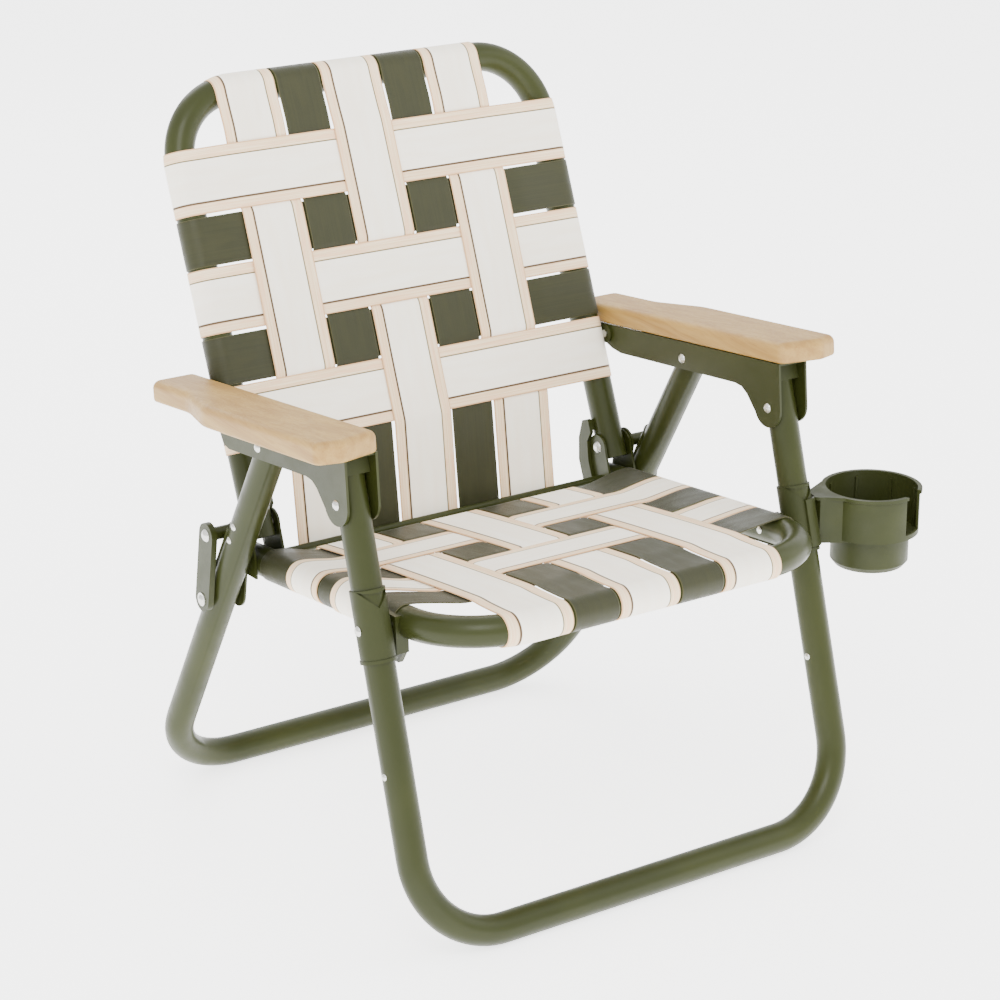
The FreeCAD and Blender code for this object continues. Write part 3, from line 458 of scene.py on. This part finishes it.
def lengthwise_rows(panel, x_mid, width, crossings):
    rows = []
    first, last = crossings[0][0], crossings[-1][1]
    leave_a = last + 2 * MM
    turned = arc_points((0.0, 0.0), WEB_R, math.pi / 2 + WRAP_TURN, -WRAP_TURN, WRAP_STEPS)
    spans = steps_between(0.0, leave_a)

    def level(a):
        return WEB_R + panel.lift * smooth(a / first) - panel.bow(a)

    leave = (leave_a, level(leave_a) + weave_height(leave_a, crossings))
    tail = last_wrap(panel, leave)
    offsets = columns(width)
    for a, h in turned:
        rows.append([panel.point(a + panel.bend_drop(x_mid + c), x_mid + c, h) for c in offsets])
    for a in spans:
        row = []
        for c in offsets:
            drop = panel.bend_drop(x_mid + c) * (1 - smooth(a / first))
            row.append(panel.point(a + drop, x_mid + c, level(a) + weave_height(a, crossings)))
        rows.append(row)
    rows.append([panel.point(leave[0], x_mid + c, leave[1]) for c in offsets])
    for a, h in tail:
        rows.append([panel.point(a, x_mid + c, h) for c in offsets])
    return rows


def cross_rows(panel, a_mid, width, crossings, tilt, ends):
    """A cross strap's rows. `ends` says, at -X and +X, how far its end lies further along the panel on the side
    tube than in the weave, and how far it lies above the tube, over a neighbour's end."""
    rows = []
    left, right = crossings[0][0], crossings[-1][1]
    half = panel.half_x
    spans = steps_between(-half, half)
    offsets = columns(width)

    def ramp(x):
        return smooth((x + half) / (left + half)) * smooth((half - x) / (half - right))

    def end_at(x, which):
        return ends[0 if x < 0 else 1][which] * (1 - ramp(x))

    for side in (-1, 1):
        drift, rise = ends[0 if side < 0 else 1]
        turned = arc_points((0.0, 0.0), WEB_R + rise, math.pi / 2, -side * WRAP_TURN, WRAP_STEPS)
        part = []
        for x, h in turned:
            row = []
            for c in offsets:
                a = a_mid + c + tilt * side * half + drift
                row.append(panel.point(a, side * panel.side_x(a) + x, h))
            part.append(row)
        if side < 0:
            rows += part[::-1]
            for x in spans:
                row = []
                for c in offsets:
                    a = a_mid + c + tilt * x + end_at(x, 0)
                    squeeze = panel.side_x(a) / half
                    level = WEB_R + end_at(x, 1) + (panel.lift - panel.bow(a)) * ramp(x)
                    h = level + weave_height(x, crossings)
                    row.append(panel.point(a, x * squeeze if abs(x) > half * 0.9 else x, h))
                rows.append(row)
        else:
            rows += part
    return rows


def lies_over(long_white, cross_white, long_index, cross_index):
    """+1 where the lengthwise strap is on top. Cream lies over olive, and cream over cream takes turns."""
    if long_white != cross_white:
        return 1 if long_white else -1
    if not long_white:
        return 1
    return 1 if (long_index // 2 + cross_index // 2) % 2 else -1


def weave(panel, prefix, body, long_widths, cross_widths, long_white, cross_white, ends, rests_on):
    """Replaces one panel's ten CAD strips with woven straps that wrap the frame."""
    long_runs = [panel.run_of("%s_long_%d" % (prefix, k + 1))[1] for k in range(5)]
    cross_runs = [panel.run_of("%s_cross_%d" % (prefix, k + 1))[0] for k in range(5)]
    order = sorted(range(5), key=lambda j: cross_runs[j])
    for i in range(5):
        crossings = []
        for j in order:
            middle, half = cross_runs[j], cross_widths[j] / 2
            crossings.append((middle - half, middle + half, lies_over(long_white[i], cross_white[j], i, j)))
        name = "%s_long_%d" % (prefix, i + 1)
        rows = lengthwise_rows(panel, long_runs[i], long_widths[i], crossings)
        finish_strap(name, rows, body, long_white[i])
    for j in range(5):
        crossings = []
        for i in range(5):
            middle, half = long_runs[i], long_widths[i] / 2
            crossings.append((middle - half, middle + half, -lies_over(long_white[i], cross_white[j], i, j)))
        name = "%s_cross_%d" % (prefix, j + 1)
        tilt = 0.0016 * math.sin(3.1 * j + (1.0 if body == "seat" else 2.2))
        rows = cross_rows(panel, cross_runs[j], cross_widths[j], crossings, tilt, ends[j])
        if body == "backrest":
            rows = [row[::-1] for row in rows]
        finish_strap(name, rows, body, cross_white[j])


def finish_strap(node, rows, body, white):
    mesh, length = strap_mesh("web_" + node, rows)
    piece = add_piece("web_" + node, mesh, body, "cream_webbing" if white else "olive_webbing", [node])


WHITE_W, GREEN_W = 65.5 * MM, 47.5 * MM
LONG_WIDTHS = (WHITE_W, GREEN_W, WHITE_W, GREEN_W, WHITE_W)
LONG_WHITE = (True, False, True, False, True)
BACK_CROSS_WIDTHS = (62 * MM, 46 * MM, 62 * MM, 46 * MM, 62 * MM)
SEAT_CROSS_WIDTHS = (47.5 * MM, 54 * MM, 44.5 * MM, 54 * MM, 44.5 * MM)
SEAT_CROSS_WHITE = (False, True, False, True, False)


LAP = WEB_T + 0.15 * MM        # an end that lies over its neighbour's
BACK_ENDS = (((0, 0), (0, 0)),) * 5
SEAT_ENDS = (((8 * MM, 0), (8 * MM, 0)), ((10 * MM, 0), (10 * MM, 0)), ((10 * MM, 0), (12 * MM, 0)),
             ((34 * MM, LAP), (13 * MM, 0)), ((34 * MM, 0), (14 * MM, 0)))


def back_panel():
    pivot = Vector(next(j for j in frame["joints"] if j["name"] == "backrest_fold")["pos_m"])
    pivot.x = MIDDLE_X
    down = Vector((0, -math.sin(RECLINE), -math.cos(RECLINE)))
    forward = Vector((0, -math.cos(RECLINE), math.sin(RECLINE)))
    last = (BACK_TOP - LOWER_BAR[0], -LOWER_BAR[1], LOWER_BAR[2])

    def bow(a):
        return BACK_BOW * smooth((a - 0.10) / 0.27) if a > 0.10 else 0.0

    return Panel(pivot - down * BACK_TOP, down, forward, INNER_X, BACK_BEND_R, BACK_LIFT, bow, last)


def seat_panel():
    low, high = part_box("seat_frame")
    front = Vector((MIDDLE_X, low.y + TUBE_R, high.z - TUBE_R))
    rearward = Vector((0, math.cos(SEAT_SLOPE), -math.sin(SEAT_SLOPE)))
    up = Vector((0, math.sin(SEAT_SLOPE), math.cos(SEAT_SLOPE)))

    def bow(a):
        return SEAT_BOW * max(a / 0.304, 0.0) ** 2.2

    return Panel(front, rearward, up, INNER_X, SEAT_BEND_R, SEAT_LIFT, bow, REAR_BAR)


# ---------------------------------------------------------------- stage
def stage():
    floor_mesh = bpy.data.meshes.new("floor")
    size = 30.0
    corners = [(-size, -size, 0), (size, -size, 0), (size, size, 0), (-size, size, 0)]
    floor_mesh.from_pydata(corners, [], [(0, 1, 2, 3)])
    floor = bpy.data.objects.new("floor", floor_mesh)
    bpy.context.scene.collection.objects.link(floor)
    s = Shader("floor_look")
    floor_mesh.materials.append(s.finish(Base_Color=(0.94, 0.94, 0.94), Roughness=0.8,
                                          Emission_Color=(1.0, 1.0, 1.0), Emission_Strength=2.5))
    world = bpy.data.worlds.new("studio")
    bpy.context.scene.world = world
    world.use_nodes = True
    background = world.node_tree.nodes["Background"]
    background.inputs["Color"].default_value = (1.0, 1.0, 1.0, 1)
    background.inputs["Strength"].default_value = 2.1
    for name, place, aim, width, power in (
            ("key", (-1.6, -1.9, 3.0), (0, 0, 0.3), 1.8, 90), ("fill", (2.6, -1.6, 1.8), (0, 0, 0.3), 2.2, 26),
            ("back", (0.6, 2.6, 2.4), (0, 0, 0.4), 2.0, 34)):
        light = bpy.data.lights.new(name, "AREA")
        light.shape = "SQUARE"
        light.size = width
        light.energy = power
        lamp = bpy.data.objects.new(name, light)
        bpy.context.scene.collection.objects.link(lamp)
        lamp.location = place
        lamp.rotation_euler = (Vector(aim) - Vector(place)).to_track_quat("-Z", "Y").to_euler()


CAMERA_FROM_FOOT = Vector((-1.54905, -1.98081, 1.27285))     # from the front ground bar's middle, on the floor
CAMERA_AZIMUTH, CAMERA_ELEVATION = math.radians(-34.97), math.radians(19.4)
CAMERA_LENS = 108.29


def camera():
    data = bpy.data.cameras.new("camera")
    data.lens = CAMERA_LENS
    data.sensor_width = 36.0
    made = bpy.data.objects.new("camera", data)
    bpy.context.scene.collection.objects.link(made)
    made.location = CAMERA_FROM_FOOT + Vector((MIDDLE_X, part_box("front_leg_frame")[0].y + TUBE_R, 0))
    made.rotation_euler = (math.pi / 2 - CAMERA_ELEVATION, 0, CAMERA_AZIMUTH)
    bpy.context.scene.camera = made


# ---------------------------------------------------------------- build
dress_cad_nodes()
weave(back_panel(), "back_strap", "backrest", LONG_WIDTHS, BACK_CROSS_WIDTHS, LONG_WHITE, LONG_WHITE, BACK_ENDS,
      ["backrest_frame", "back_lower_bar"])
weave(seat_panel(), "seat_strap", "seat", LONG_WIDTHS, SEAT_CROSS_WIDTHS, LONG_WHITE, SEAT_CROSS_WHITE,
      SEAT_ENDS, ["seat_frame", "seat_rear_bar"])
stage()
camera()
